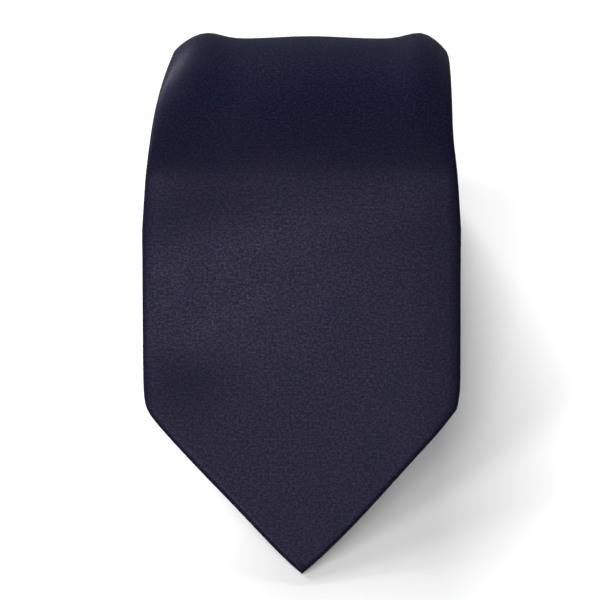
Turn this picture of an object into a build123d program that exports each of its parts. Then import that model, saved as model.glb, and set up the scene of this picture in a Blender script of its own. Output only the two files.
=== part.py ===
"""A rolled necktie: the tail is at the core of the roll, and the wide blade falls from it to the floor.

Millimetres, +Z up. X runs across the tie, and the point of the wide blade lies towards -Y. The origin
is on the floor, under the middle of the whole. "Length" is measured along the middle layer of the tie
from the point of the wide blade, and "depth" from the outer face inwards.
"""

from build123d import *

import os
from math import asin, cos, degrees, pi, radians, sin

# ---- the tie laid flat ----
TIE_LENGTH = 1480.0
BLADE_WIDTH = 85.0
NECK_WIDTH = 34.0
TAIL_WIDTH = 50.0
BLADE_POINT = 43.7  # from the point to the shoulders
POINT_BLUNT = 1.6  # half the width of the slightly blunt point
TAIL_POINT = 25.0
NECK_START = 800.0  # the wound blade tapers evenly down to here
NECK_END = 1080.0  # and the tail widens from here
FRONT_JOIN = 760.0  # seam between the blade and the neck piece
TAIL_JOIN = 1090.0  # seam between the neck piece and the tail
HEM = 9.0  # turned-in edge round both points
TAIL_OPEN = 1410.0  # the back seam of the tail stops here
TAIL_CUT = 1477.0  # the tail's last few millimetres are blunt
TAIL_LINING_END = 1468.0
INTERLINING_END = 1440.0

# ---- layers ----
THICKNESS = 2.35
SKIN = 0.4  # one layer of the outer cloth
CLEARANCE = 0.05  # between two layers that lie on each other
INTERLINING_EASE = 0.1  # between the interlining and the cloth round it
SLIT = 0.4  # half the gap along the back seam
EDGE_GAP = 0.4  # between the hem and the lining of the points
THREAD = 0.24

# ---- the roll ----
ROLL_RADIUS = 35.5
PITCH = 2.45  # how far one turn lies inside the last
LOOSE_TURN = 1.2  # extra room under the outermost turn, for the keeper loop and the labels
FALL_SLOPE = 38.0  # degrees below level where the blade leaves the roll
POINT_SLOPE = 31.0  # degrees below level at the blade's point
REST_FLAT = 0.2  # how far the roll is pressed flat where it stands
STATION = 22.5  # degrees between the sections of a wound layer
LONG_LAYER = 450.0  # a longer layer is wound in stretches of about this length

# ---- bending lines of the free blade ----
POINT_LINE = 50.0  # the pointed end lifts about this line
BODY_GAP = 0.3  # between the solids of two bodies, and of two pieces sewn end to end

# ---- what is sewn on the back of the blade ----
BAR_TACK_AT = 108.0
BAR_TACK = (6.4, 0.3, 1.2)  # across, depth, along
TAIL_TACK_AT = 1408.0
LOOP_AT = 150.0
LOOP_LENGTH = 14.0
LOOP_HALF = 30.0
LOOP_FOOT = 4.0
LOOP_THICKNESS = 0.35
LOOP_SLOT = 0.45  # height of the passage under the loop
BRAND_LABEL_AT = 166.0
BRAND_LABEL_LENGTH = 16.0
BRAND_LABEL_HALF = 27.0
CARE_LABEL_AT = 187.0
CARE_LABEL_LENGTH = 10.0
CARE_LABEL_SIDES = (-12.0, 2.0)
LABEL_THICKNESS = 0.2
LABEL_STITCH_INSET = 1.0

# ---- stitches ----
DASH = 1.6  # length of one visible stitch
DASH_PITCH = 3.5
HEM_DASH_PITCH = 5.0
SLIP_DASH = 2.4  # the back seam is sewn with long, loose stitches
SLIP_PITCH = 9.0
LOOP_TACK_DASHES = 3

ACROSS = (1, 0, 0)
HANDS = (-1, 1)

# ======================================================== the line that the tie follows
slope_out = radians(FALL_SLOPE)
slope_in = radians(POINT_SLOPE)
loose_pitch = PITCH + LOOSE_TURN
roll_z = ROLL_RADIUS - loose_pitch / 2 - REST_FLAT

# The free blade is one hollow arc, tangent to the roll, and its point just touches the floor.
fall_drop = roll_z + ROLL_RADIUS * cos(slope_out) - THICKNESS * cos(slope_in)
fall_radius = fall_drop / (cos(slope_in) - cos(slope_out))
fall_middle = fall_radius + THICKNESS / 2
free_length = fall_middle * (slope_out - slope_in)
reach = ROLL_RADIUS * sin(slope_out) + fall_radius * (sin(slope_out) - sin(slope_in))
roll_y = (reach - ROLL_RADIUS) / 2
fall_centre_y = roll_y - (ROLL_RADIUS + fall_radius) * sin(slope_out)
fall_centre_z = roll_z + (ROLL_RADIUS + fall_radius) * cos(slope_out)


def fall_plane(length):
    """Across the free blade: X across, Y into the cloth, Z along the tie."""
    slope = slope_in + length / fall_middle
    y = fall_centre_y + fall_radius * sin(slope)
    z = fall_centre_z - fall_radius * cos(slope)
    return Plane((0, y, z), x_dir=ACROSS, z_dir=(0, cos(slope), sin(slope)))


def wind():
    """The half turns of the roll: degrees turned and length where each starts, its centre and radius."""
    arcs = []
    turned, length, centre_y, radius = 0.0, free_length, roll_y, ROLL_RADIUS
    span = 90.0 + FALL_SLOPE
    while length < TIE_LENGTH:
        arcs.append((turned, length, centre_y, radius))
        turned += span
        length += radians(span) * (radius - THICKNESS / 2)
        span = 180.0
        step = (loose_pitch if len(arcs) < 3 else PITCH) / 2
        radius -= step
        centre_y += step if len(arcs) % 2 else -step
    return arcs


ARCS = wind()


def arc_at(turned):
    return [arc for arc in ARCS if arc[0] <= turned][-1]


def length_at(turned):
    start, begin, _, radius = arc_at(turned)
    return begin + radians(turned - start) * (radius - THICKNESS / 2)


def turned_at(length):
    start, begin, _, radius = [arc for arc in ARCS if arc[1] <= length][-1]
    return start + degrees((length - begin) / (radius - THICKNESS / 2))


def wound_plane(turned):
    """Across the wound tie: X across, Y into the cloth, Z along the tie."""
    _, _, centre_y, radius = arc_at(turned)
    angle = radians(90.0 + FALL_SLOPE - turned)
    origin = (0, centre_y + radius * cos(angle), roll_z + radius * sin(angle))
    return Plane(origin, x_dir=ACROSS, z_dir=(0, sin(angle), -cos(angle)))


def stations(start, stop):
    """Degrees turned at each section between two lengths, on rays that all the layers share."""
    first, last = turned_at(start), turned_at(stop)
    rays = [n * STATION for n in range(int(last / STATION) + 1)]
    margin = STATION / 4
    return [first, *(ray for ray in rays if first + margin < ray < last - margin), last]


# ======================================================== widths along the tie
def ease(length, start, stop):
    """0 before start and 1 after stop, with a smooth rise between."""
    share = min(1.0, max(0.0, (length - start) / (stop - start)))
    return (1 - cos(pi * share)) / 2


def half_width(length):
    shoulder = TIE_LENGTH - TAIL_POINT
    if length > shoulder:
        return TAIL_WIDTH / 2 * (TIE_LENGTH - length) / TAIL_POINT
    tapered = min(1.0, (length - free_length) / (NECK_START - free_length))
    narrowing = (BLADE_WIDTH - NECK_WIDTH) / 2 * tapered
    widening = (TAIL_WIDTH - NECK_WIDTH) / 2 * ease(length, NECK_END, shoulder)
    return BLADE_WIDTH / 2 - narrowing + widening


def half_opening(length):
    """Half the gap between the two back flaps, which opens over the lining of the tail's point."""
    shoulder = TIE_LENGTH - TAIL_POINT
    if length > shoulder:
        return max(SLIT, half_width(length) - HEM)
    return SLIT + (TAIL_WIDTH / 2 - HEM - SLIT) * ease(length, TAIL_OPEN, shoulder)


# ======================================================== sections, as (across, depth)
def envelope(length):
    """The outer cloth, folded round to the back, where its two edges nearly meet."""
    side, gap, back = half_width(length), half_opening(length), THICKNESS
    inner_side, inner_back = side - SKIN, back - SKIN
    front = [(-gap, back), (-side, back), (-side, 0), (side, 0), (side, back), (gap, back)]
    inside = [(gap, inner_back), (inner_side, inner_back), (inner_side, SKIN)]
    return front + inside + [(-across, depth) for across, depth in reversed(inside)]


def slab(side, top, bottom):
    return [(-side, top), (side, top), (side, bottom), (-side, bottom)]


def interlining(length):
    inset = SKIN + INTERLINING_EASE
    return slab(half_width(length) - 2 * SKIN, inset, THICKNESS - inset)


def tail_lining_section(length):
    side = max(THREAD, half_opening(length) - EDGE_GAP)
    return slab(side, THICKNESS - SKIN + CLEARANCE, THICKNESS)


def outline_sketch(plane, points):
    with BuildSketch(plane) as outline:
        with BuildLine():
            Polyline(*points, close=True)
        make_face()
    return outline.sketch


def wound_sections(shape, start, stop):
    """The sections of a layer that is wound round the roll."""
    turns = stations(start, stop)
    return [outline_sketch(wound_plane(turned), shape(length_at(turned))) for turned in turns]


def wind_layer(shape, start, stop):
    """Winds a layer round the roll, in even stretches that meet on shared sections."""
    stretches = max(1, round((stop - start) / LONG_LAYER))
    ends = [start + (stop - start) * n / stretches for n in range(stretches + 1)]
    for begin, end in zip(ends, ends[1:]):
        loft(wound_sections(shape, begin, end))


def wrap(points, length, span):
    """Carries one flat outline (across, depth) round the roll for a short span of length."""
    turned = turned_at(length)
    _, _, centre_y, radius = arc_at(turned)
    axis = Axis((0, centre_y, roll_z), (-1, 0, 0))
    turn = degrees(span / (radius - THICKNESS / 2))
    revolve(outline_sketch(wound_plane(turned), points), axis=axis, revolution_arc=turn)


def patch(sides, depth, thickness):
    """The outline of a flat patch that lies at a depth."""
    low, high = sides
    return [(low, depth), (high, depth), (high, depth + thickness), (low, depth + thickness)]


def dash(plane, across, depth, size, turn=0.0):
    """One stitch on a cross plane of the tie, its size given across, in depth and along."""
    with Locations(plane):
        with Locations(Location((across, depth, 0), (0, turn, 0))):
            Box(*size)


# ======================================================== the free blade
blade_flat = Plane(fall_plane(0).origin, x_dir=ACROSS, z_dir=(0, -sin(slope_in), cos(slope_in)))
flat_end = fall_middle * sin(slope_out - slope_in)
side_half = BLADE_WIDTH / 2
edge_run = (BLADE_POINT**2 + side_half**2) ** 0.5
SHOULDER_FILLET = 4.0
OVERRUN = 10.0
PRISM = 60.0  # reaches through every layer of the blade, from its flat outline

# The window in the back cloth, where the lining shows: (across, along).
window_apex = (0.0, HEM * edge_run / side_half)
window_shoulder = (side_half - HEM, window_apex[1] + (side_half - HEM) * BLADE_POINT / side_half)
window_top = (2 * SLIT, flat_end)


def layer(top, bottom):
    """Makes the free blade's curved layer between two depths, not yet trimmed to its outline."""
    with BuildSketch(Plane.YZ) as ring:
        with Locations((fall_centre_y, fall_centre_z)):
            Circle(fall_radius + bottom)
            Circle(fall_radius + top, mode=Mode.SUBTRACT)
    extrude(ring.sketch, amount=BLADE_WIDTH, both=True)


def trim(outline, inset):
    """Trims the layer to an outline on the blade's flat plane, less an inset."""
    if inset:
        outline = offset(outline, amount=-inset, kind=Kind.INTERSECTION, mode=Mode.PRIVATE)
    extrude(outline, amount=PRISM, both=True, mode=Mode.INTERSECT)


def mirrored(points):
    """Closes a right-hand run of points with its mirror image."""
    return points + [(-across, along) for across, along in reversed(points) if across]


with BuildSketch(blade_flat) as blade_outline:
    with BuildLine():
        edge = [(POINT_BLUNT, 0), (side_half, BLADE_POINT), (side_half, flat_end + OVERRUN)]
        Polyline(*mirrored(edge), close=True)
    make_face()
    fillet(blade_outline.vertices().group_by(Axis.Y)[1], SHOULDER_FILLET)

with BuildSketch(blade_flat) as window_outline:
    with BuildLine():
        Polyline(*mirrored([window_apex, window_shoulder, window_top]), close=True)
    make_face()

with BuildPart() as blade_cavity:
    layer(SKIN, THICKNESS - SKIN)
    trim(blade_outline.sketch, SKIN)

with BuildPart() as back_window:
    layer(THICKNESS - 2 * SKIN, THICKNESS + SKIN)
    trim(window_outline.sketch, 0)

with BuildPart() as free_blade:
    layer(0, THICKNESS)
    trim(blade_outline.sketch, 0)
    add(blade_cavity.part, mode=Mode.SUBTRACT)
    add(back_window.part, mode=Mode.SUBTRACT)

with BuildPart() as free_interlining:
    layer(SKIN + INTERLINING_EASE, THICKNESS - SKIN - INTERLINING_EASE)
    trim(blade_outline.sketch, 2 * SKIN)

with BuildPart() as free_lining:
    layer(THICKNESS - SKIN, THICKNESS)
    trim(window_outline.sketch, EDGE_GAP)

fall_start = fall_plane(POINT_LINE + BODY_GAP / 2)
fall_end = fall_plane(free_length - BODY_GAP / 2)
point_end = fall_plane(POINT_LINE - BODY_GAP / 2)

with BuildPart() as front_blade_fall:
    add(free_blade.part)
    split(bisect_by=fall_start, keep=Keep.TOP)
    split(bisect_by=fall_end, keep=Keep.BOTTOM)

with BuildPart() as front_blade_point:
    add(free_blade.part)
    split(bisect_by=point_end, keep=Keep.BOTTOM)

with BuildPart() as interlining_fall:
    add(free_interlining.part)
    split(bisect_by=fall_start, keep=Keep.TOP)
    split(bisect_by=fall_end, keep=Keep.BOTTOM)

with BuildPart() as interlining_point:
    add(free_interlining.part)
    split(bisect_by=point_end, keep=Keep.BOTTOM)

with BuildPart() as blade_lining_fall:
    add(free_lining.part)
    split(bisect_by=fall_start, keep=Keep.TOP)
    split(bisect_by=fall_end, keep=Keep.BOTTOM)

with BuildPart() as blade_lining_point:
    add(free_lining.part)
    split(bisect_by=point_end, keep=Keep.BOTTOM)


def hem_dashes(begin, end):
    """Stitches between hem and lining, on both sides, from one corner of the window to the next."""
    run_across, run_along = end[0] - begin[0], end[1] - begin[1]
    run = (run_across**2 + run_along**2) ** 0.5
    count = int(run / HEM_DASH_PITCH) - 1
    inset = EDGE_GAP / 2
    depth = THICKNESS - SKIN / 2
    size = (THREAD, THREAD, DASH)
    for n in range(count):
        share = (n + 1) / (count + 1)
        across = begin[0] + run_across * share - inset * run_along / run
        along = begin[1] + run_along * share + inset * run_across / run
        plane = fall_plane(fall_middle * asin(along / (fall_radius + depth)))
        for hand in HANDS:
            turn = hand * degrees(asin(run_across / run))
            dash(plane, hand * across, depth, size, turn)


with BuildPart() as hem_stitches_point:
    hem_dashes(window_apex, window_shoulder)

with BuildPart() as hem_stitches_fall:
    hem_dashes(window_shoulder, window_top)
    split(bisect_by=fall_start, keep=Keep.TOP)

# ======================================================== the roll
with BuildPart() as front_blade_wrap:
    wind_layer(envelope, free_length + BODY_GAP / 2, FRONT_JOIN - BODY_GAP)
    split(bisect_by=Plane.XY, keep=Keep.TOP)

with BuildPart() as neck_piece:
    wind_layer(envelope, FRONT_JOIN + BODY_GAP, TAIL_JOIN - BODY_GAP)

with BuildPart() as tail_piece:
    wind_layer(envelope, TAIL_JOIN + BODY_GAP, TAIL_CUT)

with BuildPart() as interlining_wound:
    wind_layer(interlining, free_length + BODY_GAP / 2, INTERLINING_END)

with BuildPart() as slip_stitches:
    size = (2 * THREAD, SKIN - 2 * CLEARANCE, SLIP_DASH)
    seam = TAIL_TACK_AT - BAR_TACK_AT
    count = int(seam / SLIP_PITCH)
    for n in range(1, count):
        dash(wound_plane(turned_at(BAR_TACK_AT + seam * n / count)), 0, THICKNESS - SKIN / 2, size)

with BuildPart() as tail_lining:
    wind_layer(tail_lining_section, TAIL_OPEN + HEM, TAIL_LINING_END)


def seam_dashes(length):
    """Stitches across the butted ends of two pieces, in the front cloth."""
    plane = wound_plane(turned_at(length))
    reach_out = half_width(length) - 2 * SKIN
    count = int(2 * reach_out / DASH_PITCH)
    for n in range(count):
        across = -reach_out + (n + 0.5) * 2 * reach_out / count
        dash(plane, across, SKIN / 2, (DASH, THREAD, BODY_GAP))


with BuildPart() as front_join_stitches:
    seam_dashes(FRONT_JOIN)

with BuildPart() as tail_join_stitches:
    seam_dashes(TAIL_JOIN)

# ======================================================== sewn on the back of the blade
on_back = THICKNESS + CLEARANCE

with BuildPart() as front_bar_tack:
    dash(wound_plane(turned_at(BAR_TACK_AT)), 0, on_back + BAR_TACK[1] / 2, BAR_TACK)

with BuildPart() as tail_bar_tack:
    size = (2 * THREAD, SKIN - 2 * CLEARANCE, DASH)
    dash(wound_plane(turned_at(TAIL_TACK_AT)), 0, THICKNESS - SKIN / 2, size)

with BuildPart() as keeper_loop:
    top = on_back + LOOP_SLOT
    bridge = [(LOOP_HALF, on_back), (LOOP_HALF, top + LOOP_THICKNESS)]
    passage = [(LOOP_HALF - LOOP_FOOT, top), (LOOP_HALF - LOOP_FOOT, on_back)]
    outside = [*bridge, *((-across, depth) for across, depth in reversed(bridge))]
    inside = [*((-across, depth) for across, depth in reversed(passage)), *passage]
    wrap(outside + inside, LOOP_AT, LOOP_LENGTH)

with BuildPart() as keeper_loop_tacks:
    across = LOOP_HALF - LOOP_FOOT / 2
    depth = on_back + LOOP_SLOT + LOOP_THICKNESS + CLEARANCE + THREAD / 2
    for n in range(LOOP_TACK_DASHES):
        length = LOOP_AT + LOOP_LENGTH * (n + 0.5) / LOOP_TACK_DASHES
        for hand in HANDS:
            dash(wound_plane(turned_at(length)), hand * across, depth, (DASH, THREAD, THREAD))

with BuildPart() as brand_label:
    sides = (-BRAND_LABEL_HALF, BRAND_LABEL_HALF)
    wrap(patch(sides, on_back, LABEL_THICKNESS), BRAND_LABEL_AT, BRAND_LABEL_LENGTH)

with BuildPart() as care_label:
    wrap(patch(CARE_LABEL_SIDES, on_back, LABEL_THICKNESS), CARE_LABEL_AT, CARE_LABEL_LENGTH)

with BuildPart() as label_stitches:
    depth = on_back + LABEL_THICKNESS + CLEARANCE + THREAD / 2
    across = BRAND_LABEL_HALF - LABEL_STITCH_INSET
    count = int(BRAND_LABEL_LENGTH / DASH_PITCH)
    for n in range(count):
        length = BRAND_LABEL_AT + BRAND_LABEL_LENGTH * (n + 0.5) / count
        for hand in HANDS:
            dash(wound_plane(turned_at(length)), hand * across, depth, (THREAD, THREAD, DASH))

# ======================================================== labels and files
PIECES = {
    "front_blade_wrap": front_blade_wrap,
    "front_blade_fall": front_blade_fall,
    "front_blade_point": front_blade_point,
    "neck_piece": neck_piece,
    "tail_piece": tail_piece,
    "interlining_wound": interlining_wound,
    "interlining_fall": interlining_fall,
    "interlining_point": interlining_point,
    "blade_lining_fall": blade_lining_fall,
    "blade_lining_point": blade_lining_point,
    "tail_lining": tail_lining,
    "slip_stitches": slip_stitches,
    "hem_stitches_fall": hem_stitches_fall,
    "hem_stitches_point": hem_stitches_point,
    "front_join_stitches": front_join_stitches,
    "tail_join_stitches": tail_join_stitches,
    "front_bar_tack": front_bar_tack,
    "tail_bar_tack": tail_bar_tack,
    "keeper_loop": keeper_loop,
    "keeper_loop_tacks": keeper_loop_tacks,
    "brand_label": brand_label,
    "care_label": care_label,
    "label_stitches": label_stitches,
}

os.makedirs("parts", exist_ok=True)
for name, piece in PIECES.items():
    piece.part.label = name
    export_step(piece.part, f"parts/{name}.step")
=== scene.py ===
"""A rolled navy satin necktie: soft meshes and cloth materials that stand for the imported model's cloth.

Lengths are in metres. A place on the tie is given as on the flat folded tie: "length" from the point of the
wide blade, "across" from the centre line, and "depth" from the outer face inwards, as in the part's source.
"""

from math import cos, pi, radians, sin, sqrt

import bmesh
import bpy
import numpy as np
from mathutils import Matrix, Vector


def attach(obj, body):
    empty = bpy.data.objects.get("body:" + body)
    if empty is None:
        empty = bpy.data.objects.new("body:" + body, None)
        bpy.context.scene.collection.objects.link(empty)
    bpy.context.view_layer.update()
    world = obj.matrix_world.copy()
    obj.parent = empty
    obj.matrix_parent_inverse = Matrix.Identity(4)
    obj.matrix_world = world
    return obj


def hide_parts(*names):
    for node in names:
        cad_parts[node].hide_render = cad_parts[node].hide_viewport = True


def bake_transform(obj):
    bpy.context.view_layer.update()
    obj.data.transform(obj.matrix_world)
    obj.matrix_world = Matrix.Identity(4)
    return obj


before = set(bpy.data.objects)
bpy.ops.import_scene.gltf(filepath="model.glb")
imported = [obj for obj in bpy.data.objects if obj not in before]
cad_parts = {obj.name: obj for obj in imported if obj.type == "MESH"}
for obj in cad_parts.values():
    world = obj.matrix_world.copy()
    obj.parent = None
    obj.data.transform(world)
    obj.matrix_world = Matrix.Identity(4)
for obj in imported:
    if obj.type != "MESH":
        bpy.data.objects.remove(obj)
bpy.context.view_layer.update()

MM = 0.001

# ======================================================== the tie's dimensions, as in the part
TIE_LENGTH = 1480 * MM
HALF_BLADE = 42.45 * MM  # a hair less than the part's, which keeps the soft edges inside its box
HALF_NECK = 17 * MM
HALF_TAIL = 25 * MM
BLADE_POINT = 43.7 * MM
TAIL_POINT = 25 * MM
NECK_START = 800 * MM
NECK_END = 1080 * MM
FRONT_JOIN = 760 * MM
TAIL_JOIN = 1090 * MM
TAIL_OPEN = 1410 * MM
HEM = 9 * MM
SEAM_GAP = 0.12 * MM
THICKNESS = 2.35 * MM
ROLL_RADIUS = 35.5 * MM
PITCH = 2.45 * MM
LOOSE_PITCH = 3.65 * MM
LOOSE_HALF_TURNS = 3
FALL_SLOPE = radians(38)
POINT_SLOPE = radians(31)
REST_FLAT = 0.2 * MM
BAR_TACK_AT = 108 * MM

# ======================================================== the line that the tie follows
roll_z = ROLL_RADIUS - LOOSE_PITCH / 2 - REST_FLAT
fall_drop = roll_z + ROLL_RADIUS * cos(FALL_SLOPE) - THICKNESS * cos(POINT_SLOPE)
fall_radius = fall_drop / (cos(POINT_SLOPE) - cos(FALL_SLOPE))
fall_middle = fall_radius + THICKNESS / 2
free_length = fall_middle * (FALL_SLOPE - POINT_SLOPE)
reach = ROLL_RADIUS * sin(FALL_SLOPE) + fall_radius * (sin(FALL_SLOPE) - sin(POINT_SLOPE))
roll_y = (reach - ROLL_RADIUS) / 2
fall_centre_y = roll_y - (ROLL_RADIUS + fall_radius) * sin(FALL_SLOPE)
fall_centre_z = roll_z + (ROLL_RADIUS + fall_radius) * cos(FALL_SLOPE)
START_ANGLE = pi / 2 + FALL_SLOPE


def wind():
    """The half turns of the roll: angle turned and length where each starts, centre y and radius."""
    arcs = []
    turned, length, centre_y, radius = 0.0, free_length, roll_y, ROLL_RADIUS
    span = START_ANGLE
    while length < TIE_LENGTH:
        arcs.append((turned, length, centre_y, radius))
        turned += span
        length += span * (radius - THICKNESS / 2)
        span = pi
        step = (LOOSE_PITCH if len(arcs) < LOOSE_HALF_TURNS else PITCH) / 2
        radius -= step
        centre_y += step if len(arcs) % 2 else -step
    return np.array(arcs)


ARCS = wind()


def path(lengths):
    """Points (y, z) on the outer face, and the unit direction (y, z) of depth there."""
    lengths = np.asarray(lengths, float)
    slope = POINT_SLOPE + lengths / fall_middle
    fall = np.stack([fall_centre_y + fall_radius * np.sin(slope),
                     fall_centre_z - fall_radius * np.cos(slope)], -1)
    fall_in = np.stack([np.sin(slope), -np.cos(slope)], -1)
    arc = ARCS[np.clip(np.searchsorted(ARCS[:, 1], lengths, side="right") - 1, 0, None)]
    angle = START_ANGLE - arc[..., 0] - (lengths - arc[..., 1]) / (arc[..., 3] - THICKNESS / 2)
    out = np.stack([np.cos(angle), np.sin(angle)], -1)
    wound = np.stack([arc[..., 2], np.full_like(lengths, roll_z)], -1) + arc[..., 3:4] * out
    free = (lengths < free_length)[..., None]
    return np.where(free, fall, wound), np.where(free, fall_in, -out)


# ======================================================== widths
def ease(x, start, stop):
    share = np.clip((np.asarray(x, float) - start) / (stop - start), 0, 1)
    return share * share * (3 - 2 * share)


def bump(x, centre, width):
    return np.exp(-(((np.asarray(x, float) - centre) / width) ** 2))


def soft_lesser(a, b, softness):
    """The lesser of two widths, rounded off where they meet."""
    return (a + b - np.sqrt((a - b) ** 2 + softness ** 2)) / 2


SHOULDER_SOFTNESS = 2.6 * MM
POINT_BLUNT = 1.7 * MM  # the cloth folded up in the point makes it a little blunt
BLUNT_OVER = 5 * MM
POINT_FLARE = 0.9355  # how much half the width grows per length of the point
TAPER_START = 92 * MM  # the cloth starts to narrow here, a little sooner than the part
TAPER_EASE = 0.9  # under 1, it narrows faster at the start of the taper than at its end


def point_half(s):
    """Half the width that the pointed end's slanting edges allow."""
    return POINT_FLARE * (s + POINT_BLUNT * (1 - np.exp(-s / BLUNT_OVER)))


def half_width(lengths):
    """From the pointed end, round the soft shoulders, and along the taper to the neck and the tail."""
    s = np.asarray(lengths, float)
    taper = np.clip((s - TAPER_START) / (NECK_START - TAPER_START), 0, 1) ** TAPER_EASE
    tail = (HALF_TAIL - HALF_NECK) * ease(s, NECK_END, TIE_LENGTH - TAIL_POINT)
    body = HALF_BLADE - (HALF_BLADE - HALF_NECK) * taper + tail
    tail_end = (TIE_LENGTH - s) * HALF_TAIL / TAIL_POINT
    end = np.where(s < 2 * BLADE_POINT, point_half(s), tail_end)
    return np.maximum(soft_lesser(end, body, SHOULDER_SOFTNESS), 0)


def half_opening(lengths):
    """Half the distance between the two turned-in back edges."""
    s = np.asarray(lengths, float)
    slant = sqrt(BLADE_POINT ** 2 + HALF_BLADE ** 2)
    apex = HEM * slant / HALF_BLADE
    shoulder = apex + (HALF_BLADE - HEM) * BLADE_POINT / HALF_BLADE
    up = (s - apex) * HALF_BLADE / BLADE_POINT
    back = (HALF_BLADE - HEM) * (BAR_TACK_AT - s) / (BAR_TACK_AT - shoulder)
    window = np.clip(np.minimum(up, back), SEAM_GAP, None)
    tail = (HALF_TAIL - HEM - SEAM_GAP) * ease(s, TAIL_OPEN, TIE_LENGTH - TAIL_POINT) + SEAM_GAP
    tail = np.minimum(tail, np.maximum(half_width(s) - HEM, SEAM_GAP))
    return np.where(s < BAR_TACK_AT, window, tail)


# ======================================================== soft bends
# Pairs of lengths are a bump's centre and width, or where an easing starts and stops.
CURL_FROM = 30 * MM  # the outer turn's sides hang over the narrower turns inside, and curl down round them
CURL_ANGLE = radians(78)
LEAST_CURL = radians(2)
CURL_IN = (100 * MM, 158 * MM)
CURL_OUT = (185 * MM, 235 * MM)
SKEW = 2.4 * MM  # the roll sits a little to the right of the blade
SKEW_OVER = (112 * MM, 156 * MM)
LOOSE_LIFT = 0.9 * MM  # the outermost turn is not drawn quite tight
CREST = (160 * MM, 26 * MM)
EAR = 1.6 * MM  # two soft bumps near the ends of the roll's crest
EAR_AT = 28.7 * MM
EAR_SKEW = 0.95 * MM
EAR_WIDTH = 5 * MM
SEAM_RIDGE = 0.7 * MM  # the back seam's bulk shows through along the middle of the crest
RIDGE_WIDTH = 12 * MM
LEAVING_LIFT = 1.25 * MM  # the stiff cloth springs up a little where it leaves the roll
LEAVING_AT = 94 * MM
LEAVING_TILT = 0.2  # that place is higher up on the right than on the left
LEAVING_WIDTH = 14 * MM
HOLLOW = 2.2 * MM  # the left side clings to the roll a little longer
HOLLOW_ACROSS = (-28 * MM, 14 * MM)
HOLLOW_ALONG = (122 * MM, 16 * MM)
WAIST = 0.5 * MM  # the blade is drawn in a little above the place where it leaves the roll
WAIST_ALONG = (117 * MM, 12 * MM)
BLADE_FADE = (free_length - 10 * MM, free_length + 20 * MM)  # where the free blade's own bends fade out
CROWN = 0.9 * MM
CROWN_OVER = (12 * MM, 60 * MM)
SAG = 0.3 * MM
SAG_ACROSS = 17 * MM
SAG_ALONG = 21 * MM
SAG_PHASE = 0.6
DIMPLE = 1.1 * MM
DIMPLE_ACROSS = (-29 * MM, 13 * MM)
DIMPLE_ALONG = (60 * MM, 13 * MM)
TIP_SWAY = 0.45 * MM
TIP_SWAY_OVER = (15 * MM, 12 * MM)
CRISP_SOFTNESS = 0.7 * MM  # the right shoulder is pressed sharper than the left one, and cut in a little
CORNER_CUT = 0.75 * MM
CORNER_CUT_ALONG = (42.9 * MM, 4.5 * MM)
CORNER_OVER = (28 * MM, HALF_BLADE - 2 * MM)


def right_shoulder(lengths):
    """How much further out the right shoulder reaches than the left one."""
    s = np.asarray(lengths, float)
    crisp = soft_lesser(point_half(s), HALF_BLADE, CRISP_SOFTNESS)
    soft = soft_lesser(point_half(s), HALF_BLADE, SHOULDER_SOFTNESS)
    return crisp - soft - CORNER_CUT * bump(s, *CORNER_CUT_ALONG)


def curl(lengths):
    """The angle that the sides curl down by at each length."""
    s = np.asarray(lengths, float)
    return np.maximum(CURL_ANGLE * ease(s, *CURL_IN) * (1 - ease(s, *CURL_OUT)), LEAST_CURL)


def soften(across, lengths, depth):
    """Moves points of the flat-folded tie to where the soft cloth lies: (across, depth)."""
    radius = (HALF_BLADE - CURL_FROM) / curl(lengths)
    side = np.abs(across)
    turn = np.clip((side - CURL_FROM) / radius, 0, None)
    curled = side > CURL_FROM
    new_side = np.where(curled, CURL_FROM + (radius - depth) * np.sin(turn), side)
    new_side = new_side - WAIST * (side / HALF_BLADE) ** 2 * bump(lengths, *WAIST_ALONG)
    new_depth = np.where(curled, radius - (radius - depth) * np.cos(turn), depth)

    ears = EAR * bump(np.abs(across - EAR_SKEW), EAR_AT, EAR_WIDTH)
    ridge = SEAM_RIDGE * bump(across, 0, RIDGE_WIDTH)
    raised = bump(lengths, *CREST) * (ears + ridge + LOOSE_LIFT)
    leaving = LEAVING_AT + LEAVING_TILT * np.clip(across, -HALF_BLADE, HALF_BLADE)
    raised = raised + LEAVING_LIFT * bump(lengths, leaving, LEAVING_WIDTH)

    crown = CROWN * (across / HALF_BLADE) ** 2 * ease(lengths, *CROWN_OVER)
    sag = SAG * np.sin(across / SAG_ACROSS + SAG_PHASE) * np.sin(lengths / SAG_ALONG)
    dimple = DIMPLE * bump(across, *DIMPLE_ACROSS) * bump(lengths, *DIMPLE_ALONG)
    hollow = HOLLOW * bump(across, *HOLLOW_ACROSS) * bump(lengths, *HOLLOW_ALONG)
    new_depth = new_depth - raised + hollow + (1 - ease(lengths, *BLADE_FADE)) * (crown + sag + dimple)

    shift = SKEW * ease(lengths, *SKEW_OVER) + TIP_SWAY * bump(lengths, *TIP_SWAY_OVER)
    shift = shift + right_shoulder(lengths) * ease(across, *CORNER_OVER)
    return np.sign(across) * new_side + shift, new_depth


def place(across, lengths, depth):
    """Points in the shared frame, never below the surface, from (across, length, depth) on the flat tie."""
    across, lengths, depth = np.broadcast_arrays(across, lengths, depth)
    x, deep = soften(across, lengths, depth)
    point, inward = path(lengths)
    yz = point + deep[..., None] * inward
    return np.stack([x, yz[..., 0], np.maximum(yz[..., 1], 0)], -1)


# ======================================================== meshes
def in_scene(name, data):
    """A new object with the given data, linked into the scene."""
    made = bpy.data.objects.new(name, data)
    bpy.context.scene.collection.objects.link(made)
    return made


def smooth(mesh):
    mesh.polygons.foreach_set("use_smooth", np.ones(len(mesh.polygons), bool))


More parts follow.
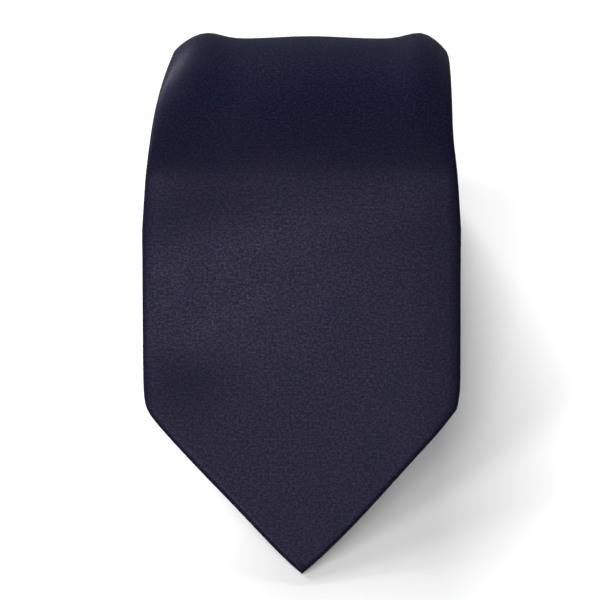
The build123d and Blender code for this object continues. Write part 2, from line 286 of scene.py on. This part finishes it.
def grid_mesh(name, points, cloth, closed=False):
    """A mesh of a grid of points (rows, columns, 3), with a UV map of the flat cloth in metres.

    When it is closed, the last column joins the first.
    """
    rows, columns = points.shape[:2]
    index = np.arange(rows * columns).reshape(rows, columns)
    if closed:
        index = np.concatenate([index, index[:, :1]], 1)
    quads = np.stack([index[:-1, :-1], index[:-1, 1:], index[1:, 1:], index[1:, :-1]], -1).reshape(-1, 4)
    mesh = bpy.data.meshes.new(name)
    mesh.from_pydata(points.reshape(-1, 3).tolist(), [], quads.tolist())
    layer = mesh.uv_layers.new(name="cloth")
    flat = cloth.reshape(-1, 2)
    loops = np.zeros(len(mesh.loops), np.int32)
    mesh.loops.foreach_get("vertex_index", loops)
    layer.data.foreach_set("uv", flat[loops].astype(np.float32).ravel())
    smooth(mesh)
    mesh.update()
    return in_scene(name, mesh)


FOLD_STEPS = 7
HALF_FRONT_COLUMNS = 20
BACK_COLUMNS = 14
SLOPE_STEP = 0.05 * MM  # the length that a side edge's slant is taken over
CLOSER_ROWS = (0.1, 0.25, 0.5)  # in spacings from a cut end


def envelope_rows(lengths):
    """The folded outer cloth at each length: across, depth and girth, from one back edge to the other."""
    s = np.asarray(lengths, float)[:, None]
    w = half_width(s)
    before = np.minimum(SLOPE_STEP, s)
    lean = (half_width(s + SLOPE_STEP) - half_width(s - before)) / (SLOPE_STEP + before)
    straight = 1 / np.sqrt(1 + lean ** 2)
    t = THICKNESS / 2
    room = np.minimum(w * straight / t, 1)
    least = np.arcsin(1 - room)
    flat = np.maximum(w - t / straight, 0)
    share = np.linspace(0, 1, FOLD_STEPS)[None, :]
    theta = least + (pi - 2 * least) * share
    fold_u = w - t * (1 - np.sin(theta)) / straight
    fold_depth = t * (1 - np.cos(theta))
    fold_girth = flat + t * theta
    front_u = flat * np.linspace(0, 1, HALF_FRONT_COLUMNS)[None, :-1]
    front_depth = np.broadcast_to(fold_depth[:, :1], front_u.shape)
    opening = np.minimum(half_opening(s), fold_u[:, -1:])
    back_u = fold_u[:, -1:] + (opening - fold_u[:, -1:]) * np.linspace(0, 1, BACK_COLUMNS)[None, 1:]
    back_depth = np.broadcast_to(fold_depth[:, -1:], back_u.shape)
    back_girth = fold_girth[:, -1:] + fold_u[:, -1:] - back_u
    u = np.concatenate([front_u, fold_u, back_u], 1)
    depth = np.concatenate([front_depth, fold_depth, back_depth], 1)
    girth = np.concatenate([front_u, fold_girth, back_girth], 1)
    halves = ((-1, u), (1, depth), (-1, girth))
    return [np.concatenate([hand * half[:, :0:-1], half], 1) for hand, half in halves]


def rows_between(start, stop, spacing, fine_ends=()):
    """Lengths about a spacing apart, closer together at the given ends."""
    count = max(2, int(round((stop - start) / spacing)) + 1)
    rows = np.linspace(start, stop, count)
    extra = []
    for end in fine_ends:
        hand = 1 if end == start else -1
        extra.append(end + hand * np.array(CLOSER_ROWS) * spacing)
    return np.unique(np.concatenate([rows, *extra]))


def note_flat(piece, lengths, widths):
    """Notes a sheet's flat width, length and area on it, from its width at each length."""
    area = float(((widths[:-1] + widths[1:]) / 2 * np.diff(lengths)).sum())
    piece["flat"] = [float(widths.max()), float(lengths[-1] - lengths[0]), area]


def envelope(name, lengths):
    """The folded outer cloth between two lengths, as a sheet without thickness."""
    u, depth, girth = envelope_rows(lengths)
    s = np.broadcast_to(np.asarray(lengths)[:, None], u.shape)
    made = grid_mesh(name, place(u, s, depth), np.stack([girth, s], -1))
    note_flat(made, lengths, girth[:, -1] - girth[:, 0])
    return made


def thicken(piece, thickness):
    """Gives a sheet its thickness, inwards, with crisp cut edges."""
    uses = {}
    for polygon in piece.data.polygons:
        for key in polygon.edge_keys:
            uses[key] = uses.get(key, 0) + 1
    cut = [uses[tuple(sorted(edge.vertices))] == 1 for edge in piece.data.edges]
    piece.data.attributes.new("sharp_edge", "BOOLEAN", "EDGE").data.foreach_set("value", cut)
    solid = piece.modifiers.new("cloth thickness", "SOLIDIFY")
    solid.thickness = thickness
    solid.offset = -1
    return piece


SWELLS = ((0, 0.5), (0.12, 1), (0.5, 1.1), (0.88, 1), (1, 0.5))  # a stitch's shares of length and radius
STITCH_SIDES = 6


def threads(name, ends, radius):
    """Short straight stitches, each from one (across, length, depth) to another, in one mesh."""
    verts, faces, cloth = [], [], []
    sides = STITCH_SIDES
    turns = np.linspace(0, 2 * pi, sides, endpoint=False)
    for start, stop in ends:
        run = np.array(stop) - np.array(start)
        span = sqrt(run[0] ** 2 + run[1] ** 2)
        aside = np.array([-run[1], run[0], 0]) / span
        first = len(verts)
        for share, swell in SWELLS:
            for turn in turns:
                out = aside * cos(turn) + np.array([0, 0, 1]) * sin(turn)
                verts.append(place(*(np.array(start) + run * share + out * radius * swell)))
                cloth.append((radius * turn, span * share))
        last = first + (len(SWELLS) - 1) * sides
        for ring in range(first, last, sides):
            for i in range(sides):
                a, b = ring + i, ring + (i + 1) % sides
                faces.append((a, b, b + sides, a + sides))
        faces.append(tuple(first + i for i in reversed(range(sides))))
        faces.append(tuple(last + i for i in range(sides)))
    mesh = bpy.data.meshes.new(name)
    mesh.from_pydata([tuple(v) for v in verts], [], faces)
    layer = mesh.uv_layers.new(name="cloth")
    for loop in mesh.loops:
        layer.data[loop.index].uv = cloth[loop.vertex_index]
    smooth(mesh)
    return in_scene(name, mesh)


SLAB_COLUMNS = 24
LEAST_HALF = 0.05 * MM


def slab(name, lengths, half, top, bottom):
    """A layer inside the fold, from half its width at each length and two depths, closed all round."""
    s = np.asarray(lengths, float)[:, None]
    half = np.maximum(np.asarray(half, float)[:, None], LEAST_HALF)
    u = half * np.linspace(-1, 1, SLAB_COLUMNS)[None, :]
    loop_u = np.concatenate([u, u[:, ::-1]], 1)
    loop_depth = np.concatenate([np.full_like(u, top), np.full_like(u, bottom)], 1)
    loop_s = np.broadcast_to(s, loop_u.shape)
    made = grid_mesh(name, place(loop_u, loop_s, loop_depth), np.stack([loop_u, loop_s], -1), closed=True)
    work = bmesh.new()
    work.from_mesh(made.data)
    ends = [edge for edge in work.edges if edge.is_boundary]
    bmesh.ops.holes_fill(work, edges=ends, sides=0)
    for edge in ends:
        edge.smooth = False
    bmesh.ops.recalc_face_normals(work, faces=work.faces)
    work.to_mesh(made.data)
    work.free()
    note_flat(made, lengths, 2 * half[:, 0])
    return made


# ======================================================== materials
class Nodes:
    """A material's node tree, with short calls for the nodes that the cloths share."""

    def __init__(self, name):
        self.material = bpy.data.materials.new(name)
        self.material.use_nodes = True
        self.tree = self.material.node_tree
        self.shader = self.tree.nodes["Principled BSDF"]

    def add(self, kind, **inputs):
        made = self.tree.nodes.new(kind)
        for key, value in inputs.items():
            made.inputs[key].default_value = value
        return made

    def link(self, output, socket):
        self.tree.links.new(output, socket)

    def cloth(self, across, along, turn=0.0):
        """The flat cloth's coordinates, in repeats per millimetre across and along, turned in its plane."""
        source = self.add("ShaderNodeUVMap")
        source.uv_map = "cloth"
        return self.scaled(source.outputs[0], (across, along, 1), turn)

    def solid(self, scale):
        """The piece's own coordinates, in repeats per millimetre."""
        source = self.add("ShaderNodeTexCoord")
        return self.scaled(source.outputs["Object"], (scale, scale, scale), 0.0)

    def scaled(self, output, scale, turn):
        repeats = [value / MM for value in scale]
        mapping = self.add("ShaderNodeMapping", Scale=repeats, Rotation=(0, 0, turn))
        self.link(output, mapping.inputs["Vector"])
        return mapping.outputs[0]

    def noise(self, vector, detail=2.0, roughness=0.6):
        made = self.add("ShaderNodeTexNoise", Scale=1.0, Detail=detail, Roughness=roughness)
        self.link(vector, made.inputs["Vector"])
        return made.outputs[0]

    def lines(self, vector, distortion=0.6):
        made = self.add("ShaderNodeTexWave", Scale=1.0, Distortion=distortion, Detail=1.0)
        made.inputs["Detail Scale"].default_value = 1.5
        self.link(vector, made.inputs["Vector"])
        return made.outputs["Fac"]

    def weigh(self, parts):
        """The weighted sum of some outputs."""
        total = None
        for output, weight in parts:
            term = self.tree.nodes.new("ShaderNodeMath")
            term.operation = "MULTIPLY_ADD" if total else "MULTIPLY"
            self.link(output, term.inputs[0])
            term.inputs[1].default_value = weight
            if total:
                self.link(total, term.inputs[2])
            total = term.outputs[0]
        return total

    def between(self, output, low, high, to_low=0.0, to_high=1.0):
        made = self.tree.nodes.new("ShaderNodeMapRange")
        for key, value in (("From Min", low), ("From Max", high), ("To Min", to_low), ("To Max", to_high)):
            made.inputs[key].default_value = value
        self.link(output, made.inputs["Value"])
        return made.outputs[0]

    def mix(self, factor, first, second, blend="MIX"):
        made = self.tree.nodes.new("ShaderNodeMix")
        made.data_type = "RGBA"
        made.blend_type = blend
        for key, value in (("Factor", factor), ("A", first), ("B", second)):
            socket = [put for put in made.inputs if put.name == key and put.enabled][0]
            if isinstance(value, bpy.types.NodeSocket):
                self.link(value, socket)
            else:
                socket.default_value = (*value, 1) if isinstance(value, tuple) else value
        return [put for put in made.outputs if put.name == "Result" and put.enabled][0]

    def bump(self, height, distance, strength=1.0):
        made = self.add("ShaderNodeBump", Strength=strength, Distance=distance)
        self.link(height, made.inputs["Height"])
        self.link(made.outputs[0], self.shader.inputs["Normal"])

    def finish(self, colour, roughness, specular, tint=(1, 1, 1), sheen=0.0):
        self.link(colour, self.shader.inputs["Base Color"])
        self.link(roughness, self.shader.inputs["Roughness"])
        self.shader.inputs["Specular IOR Level"].default_value = specular
        self.shader.inputs["Specular Tint"].default_value = (*tint, 1)
        self.shader.inputs["Sheen Weight"].default_value = sheen
        self.shader.inputs["Sheen Roughness"].default_value = 0.5
        return self.material


def satin_cloth():
    """Satin: a fine fleck, short broken ribs across the tie, and faint warmer and cooler patches of dye."""
    made = Nodes("navy satin")
    ribs = made.noise(made.cloth(0.6, 2.0), detail=2.0)
    grain = made.noise(made.cloth(1.5, 1.6), detail=2.0, roughness=0.7)
    floats = made.lines(made.cloth(0.55, 0.6, turn=radians(90)), distortion=2.5)
    patches = made.noise(made.cloth(0.13, 0.11), detail=4.0, roughness=0.62)
    weave = made.weigh([(ribs, 0.2), (grain, 0.74), (floats, 0.06)])
    fleck = made.between(weave, 0.45, 0.68)
    colour = made.mix(fleck, (0.0030, 0.0034, 0.0114), (0.0117, 0.0124, 0.0300))
    dye = made.mix(made.between(patches, 0.36, 0.64), (0.88, 1.06, 1.0), (1.13, 0.94, 1.03))
    colour = made.mix(1.0, colour, dye, blend="MULTIPLY")
    made.bump(weave, 0.06 * MM, 0.5)
    gloss = made.weigh([(weave, 0.88), (patches, 0.12)])
    return made.finish(colour, made.between(gloss, 0.41, 0.64, 0.525, 0.375), 0.16, tint=(0.76, 0.66, 1.0))


def lining_cloth():
    """Plain smooth lining, woven finer than the satin."""
    made = Nodes("navy lining")
    across = made.lines(made.cloth(0.9, 0.0), distortion=0.4)
    along = made.lines(made.cloth(0.9, 0.9, turn=radians(90)), distortion=0.4)
    slubs = made.noise(made.cloth(0.4, 2.2), detail=3.0)
    weave = made.weigh([(across, 0.25), (along, 0.25), (slubs, 0.5)])
    colour = made.mix(made.between(weave, 0.3, 0.7), (0.006, 0.0065, 0.018), (0.014, 0.015, 0.036))
    made.bump(weave, 0.04 * MM, 0.5)
    return made.finish(colour, made.between(weave, 0.3, 0.7, 0.45, 0.33), 0.3)


def wool_felt():
    """Undyed brushed wool: matted fibres with a few darker ones."""
    made = Nodes("interlining wool")
    fibres = made.noise(made.cloth(0.5, 1.6), detail=5.0, roughness=0.7)
    mat = made.noise(made.cloth(0.25, 0.25), detail=3.0)
    fluff = made.weigh([(fibres, 0.7), (mat, 0.3)])
    colour = made.mix(made.between(fluff, 0.35, 0.65), (0.40, 0.35, 0.27), (0.70, 0.65, 0.55))
    made.bump(fluff, 0.2 * MM, 0.8)
    return made.finish(colour, made.between(fluff, 0.3, 0.7, 0.95, 0.8), 0.1, sheen=0.3)


def sewing_thread(name, vector_of):
    """Twisted navy thread."""
    made = Nodes(name)
    twist = made.lines(vector_of(made), distortion=0.5)
    colour = made.mix(twist, (0.006, 0.006, 0.017), (0.022, 0.022, 0.048))
    made.bump(twist, 0.04 * MM, 0.7)
    return made.finish(colour, made.between(twist, 0, 1, 0.6, 0.42), 0.25)


def woven_label():
    """Blank damask label: fine ribs, lighter than the satin."""
    made = Nodes("label weave")
    ribs = made.lines(made.solid(0.8), distortion=0.3)
    grain = made.noise(made.solid(1.6), detail=3.0)
    weave = made.weigh([(ribs, 0.5), (grain, 0.5)])
    colour = made.mix(made.between(weave, 0.3, 0.7), (0.016, 0.016, 0.036), (0.04, 0.04, 0.075))
    made.bump(weave, 0.05 * MM, 0.6)
    return made.finish(colour, made.between(weave, 0.3, 0.7, 0.55, 0.4), 0.25)


def loop_satin():
    """The satin of the keeper loop, which has no flat-cloth coordinates of its own."""
    made = Nodes("loop satin")
    grain = made.noise(made.solid(1.5), detail=3.0, roughness=0.65)
    colour = made.mix(made.between(grain, 0.36, 0.66), (0.0050, 0.0052, 0.0135), (0.0108, 0.0112, 0.0258))
    made.bump(grain, 0.06 * MM, 0.55)
    return made.finish(colour, made.between(grain, 0.3, 0.7, 0.6, 0.45), 0.16, tint=(0.72, 0.66, 1.0))


satin = satin_cloth()
lining = lining_cloth()
wool = wool_felt()
thread = sewing_thread("navy thread", lambda made: made.cloth(2.0, 2.0, turn=radians(35)))
rigid_thread = sewing_thread("navy tack thread", lambda made: made.solid(1.6))
label = woven_label()
loop = loop_satin()


def finish_piece(piece, material, slot, *nodes):
    """Gives a piece its material, and hides the imported nodes that it stands for; the slot is not used."""
    piece.data.materials.append(material)
    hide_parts(*nodes)
    return piece


# ======================================================== the outer cloth
SKIN = 0.38 * MM  # the outer cloth's own thickness
MID_BLADE = 77 * MM  # two pieces meet here, between the two bending lines
BACK_MEET = 205 * MM  # and here, low on the back of the roll
TIP_START = 0.02 * MM
ROW = 1.5 * MM
WOUND_ROW = 2.4 * MM
TIP_ROWS = (0.2 * MM, 0.5 * MM, 0.95 * MM)  # closer rows, where the point is blunt
TAIL_END = TIE_LENGTH - MM

point_rows = np.concatenate([[TIP_START, *TIP_ROWS], rows_between(ROW, MID_BLADE, ROW, (MID_BLADE,))])
fall_rows = rows_between(MID_BLADE, BACK_MEET, ROW, (MID_BLADE, BACK_MEET))
wrap_rows = rows_between(BACK_MEET, FRONT_JOIN, WOUND_ROW, (BACK_MEET,))
neck_rows = rows_between(FRONT_JOIN, TAIL_JOIN, WOUND_ROW)
tail_rows = rows_between(TAIL_JOIN, TAIL_END, WOUND_ROW / 2)
SHELLS = (
    ("blade_point_cloth", point_rows, "front_blade_point", "tip"),
    ("blade_fall_cloth", fall_rows, "front_blade_fall", "blade"),
    ("blade_wound_cloth", wrap_rows, "front_blade_wrap", "roll"),
    ("neck_cloth", neck_rows, "neck_piece", "roll"),
    ("tail_cloth", tail_rows, "tail_piece", "roll"),
)
pieces = []
for name, rows, node, body in SHELLS:
    shell = thicken(envelope(name, rows), SKIN)
    pieces.append((finish_piece(shell, satin, "satin", node), body))

# ======================================================== inside the fold
FELT_MARGIN = 1.3 * MM
FELT = (0.5 * MM, 1.66 * MM)  # the depths of its two faces
LINING_MARGIN = 1.9 * MM
LINING_UNDER_HEM = 5 * MM
LINING = (1.8 * MM, 1.93 * MM)  # the depths of its two faces
FELT_ENDS = (4 * MM, 1440 * MM)
LINING_ENDS = (8 * MM, 111 * MM)
TAIL_LINING_ENDS = (1402 * MM, 1468 * MM)
TUCK = 1.2 * MM  # the two parts of the blade's tipping run into each other


def felt(name, rows, node, body):
    """A length of the interlining."""
    made = slab(name, rows, half_width(rows) - FELT_MARGIN, *FELT)
    pieces.append((finish_piece(made, wool, "interlining", node), body))


def tipping(name, rows, node, body):
    """A length of the lining cloth that shows between the hems."""
    half = np.minimum(half_width(rows) - LINING_MARGIN, half_opening(rows) + LINING_UNDER_HEM)
    made = slab(name, rows, half, *LINING)
    pieces.append((finish_piece(made, lining, "lining", node), body))


point_felt_rows = rows_between(FELT_ENDS[0], MID_BLADE, 2 * ROW)
fall_felt_rows = rows_between(MID_BLADE, BACK_MEET, 2 * ROW)
wound_felt_rows = rows_between(BACK_MEET, FELT_ENDS[1], WOUND_ROW)
felt("interlining_point_felt", point_felt_rows, "interlining_point", "tip")
felt("interlining_fall_felt", fall_felt_rows, "interlining_fall", "blade")
felt("interlining_wound_felt", wound_felt_rows, "interlining_wound", "roll")
point_lining_rows = rows_between(LINING_ENDS[0], MID_BLADE + TUCK, ROW)
fall_lining_rows = rows_between(MID_BLADE, LINING_ENDS[1], ROW)
tipping("blade_point_tipping", point_lining_rows, "blade_lining_point", "tip")
tipping("blade_fall_tipping", fall_lining_rows, "blade_lining_fall", "blade")
tipping("tail_tipping", rows_between(*TAIL_LINING_ENDS, ROW), "tail_lining", "roll")

# ======================================================== hem stitches
STITCH = 1.5 * MM
STITCH_PITCH = 3.1 * MM
STITCH_RADIUS = 0.13 * MM
STITCH_INSET = 1.3 * MM  # from the turned-in edge of the hem
STITCH_SUNK = 0.7  # of its radius
HEM_STITCHED = (15 * MM, 98 * MM)
HEM_BREAK = 1 * MM  # no stitch lies over the border between the two pieces


def hem_stitches(name, start, stop, node, body):
    """A running stitch along both turned-in edges, on the back of the blade."""
    ends = []
    depth = THICKNESS + (1 - STITCH_SUNK) * STITCH_RADIUS
    for begin in np.arange(start, stop, STITCH_PITCH):
        for hand in (-1, 1):
            first = (hand * (half_opening(begin) + STITCH_INSET), begin, depth)
            last = (hand * (half_opening(begin + STITCH) + STITCH_INSET), begin + STITCH, depth)
            ends.append((first, last))
    made = threads(name, ends, STITCH_RADIUS)
    pieces.append((finish_piece(made, thread, "thread", node), body))


lower_hem = (HEM_STITCHED[0], MID_BLADE - STITCH)
upper_hem = (MID_BLADE + HEM_BREAK, HEM_STITCHED[1])
hem_stitches("hem_stitches_by_the_point", *lower_hem, "hem_stitches_point", "tip")
hem_stitches("hem_stitches_by_the_roll", *upper_hem, "hem_stitches_fall", "blade")


# ======================================================== the roll's pieces ride on the roll, and the others stay in place
def on_face(length):
    """The point on the middle of the outer face at a length."""
    return Vector(place(0.0, length, 0.0))


LIFT_BEND = (free_length + 7 * MM, 81 * MM)  # the lengths that a hinge's bend would be spread over; below, their places on the face are worked out but not used
POINT_BEND = (62 * MM, 31 * MM)
for piece, body in pieces:
    if body == "roll":
        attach(piece, "roll")
    elif body == "blade":
        on_face(LIFT_BEND[0])
        on_face(LIFT_BEND[1])
        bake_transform(piece)
    else:
        on_face(POINT_BEND[0])
        on_face(POINT_BEND[1])
        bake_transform(piece)

# ======================================================== the CAD nodes that stay in view
FINISHES = {"keeper_loop": loop, "brand_label": label, "care_label": label}
for name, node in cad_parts.items():
    if not node.hide_render:
        node.data.materials.clear()
        node.data.materials.append(FINISHES.get(name, rigid_thread))


# ======================================================== floor, light and camera
FLOOR_HALF = 4.0


def studio_floor():
    """A wide white floor, with only a trace of texture."""
    made = Nodes("studio white")
    mottle = made.noise(made.solid(0.004), detail=2.0)
    colour = made.mix(mottle, (0.91, 0.91, 0.915), (0.93, 0.93, 0.93))
    made.finish(colour, made.between(mottle, 0, 1, 0.9, 0.95), 0.1)
    half = FLOOR_HALF
    mesh = bpy.data.meshes.new("floor")
    corners = [(-half, -half, 0), (half, -half, 0), (half, half, 0), (-half, half, 0)]
    mesh.from_pydata(corners, [], [(0, 1, 2, 3)])
    mesh.materials.append(made.material)
    placed = in_scene("floor", mesh)
    placed.visible_glossy = False


WORLD_GLOW = 0.07
WORLD_GLOSS = 0.19


def studio_world():
    """White to look at, a faint even glow for the light that it gives, and a little more in reflections."""
    world = bpy.data.worlds.new("studio")
    world.use_nodes = True
    tree = world.node_tree
    glow = tree.nodes["Background"]
    glow.inputs["Color"].default_value = (1, 1, 1, 1)
    seen = tree.nodes.new("ShaderNodeLightPath")
    last = None
    for ray, strength in (("Is Camera Ray", 1 - WORLD_GLOW), ("Is Glossy Ray", WORLD_GLOSS - WORLD_GLOW)):
        term = tree.nodes.new("ShaderNodeMath")
        term.operation = "MULTIPLY_ADD"
        tree.links.new(seen.outputs[ray], term.inputs[0])
        term.inputs[1].default_value = strength
        term.inputs[2].default_value = WORLD_GLOW
        if last:
            tree.links.new(last, term.inputs[2])
        last = term.outputs[0]
    tree.links.new(last, glow.inputs["Strength"])
    bpy.context.scene.world = world


AIM = Vector((0, 0, 30 * MM))
LIGHT_DISTANCE = 2.4


def softbox(name, azimuth, elevation, width, height, power, body=True, gloss=False):
    """A soft light aimed at the tie, with angles in degrees, sizes in metres and power in watts.

    Azimuth 0 is in front of the tie and 90 is on its right. With body the light falls on things, and with
    gloss it shows in reflections.
    """
    data = bpy.data.lights.new(name, "AREA")
    data.shape = "RECTANGLE"
    data.size, data.size_y = width, height
    data.energy = power
    lamp = in_scene(name, data)
    a, e = radians(azimuth), radians(elevation)
    away = Vector((sin(a) * cos(e), -cos(a) * cos(e), sin(e)))
    lamp.location = AIM + away * LIGHT_DISTANCE
    lamp.rotation_mode = "QUATERNION"
    lamp.rotation_quaternion = away.to_track_quat("Z", "Y")
    lamp.visible_camera = False
    lamp.visible_diffuse = body
    lamp.visible_glossy = gloss


studio_floor()
studio_world()
softbox("window behind", -169.5, 28, 1.0, 0.85, 81)
softbox("left, behind", -114, 32, 0.85, 0.8, 22, gloss=True)
softbox("left, low", -60, 21, 0.6, 0.5, 28)
softbox("left gloss", -58, 20, 0.55, 0.5, 5, body=False, gloss=True)
softbox("front", 6, 43, 0.8, 0.7, 17)
softbox("front gloss", -9, 44, 0.7, 0.6, 28, body=False, gloss=True)
softbox("corner gloss", -147, 4, 0.3, 0.2, 13, body=False, gloss=True)
softbox("above", -20, 68, 1.2, 1.2, 15)

view = bpy.context.scene.view_settings
view.view_transform = "Standard"
view.look = "None"
view.exposure = 0.0
view.gamma = 1.0

CAMERA_ELEVATION = radians(57)
CAMERA_LENS = 250.0
SENSOR = 36.0
CLIP = (0.01, 30)
FRAME_SPAN = 161.4 * MM  # the width of the view at the tie
VIEW_LEFT = 0.4 * MM  # how far the view's middle lies from the middle of the tie's outline
VIEW_UP = 1.15 * MM
VIEW_NEAR = 28 * MM
camera_data = bpy.data.cameras.new("camera")
camera_data.lens = CAMERA_LENS
camera_data.sensor_width = SENSOR
camera_data.clip_start, camera_data.clip_end = CLIP
camera = in_scene("camera", camera_data)
toward = Vector((0, -cos(CAMERA_ELEVATION), sin(CAMERA_ELEVATION)))
up = Vector((0, sin(CAMERA_ELEVATION), cos(CAMERA_ELEVATION)))
crest_up = roll_y * up.y + roll_z * up.z + ROLL_RADIUS
middle_up = (crest_up + on_face(0).dot(up)) / 2 + VIEW_UP
middle = Vector((-VIEW_LEFT, 0, 0)) + up * middle_up + toward * VIEW_NEAR
camera.location = middle + toward * (FRAME_SPAN * CAMERA_LENS / SENSOR)
camera.rotation_mode = "QUATERNION"
camera.rotation_quaternion = toward.to_track_quat("Z", "Y")
bpy.context.scene.camera = camera
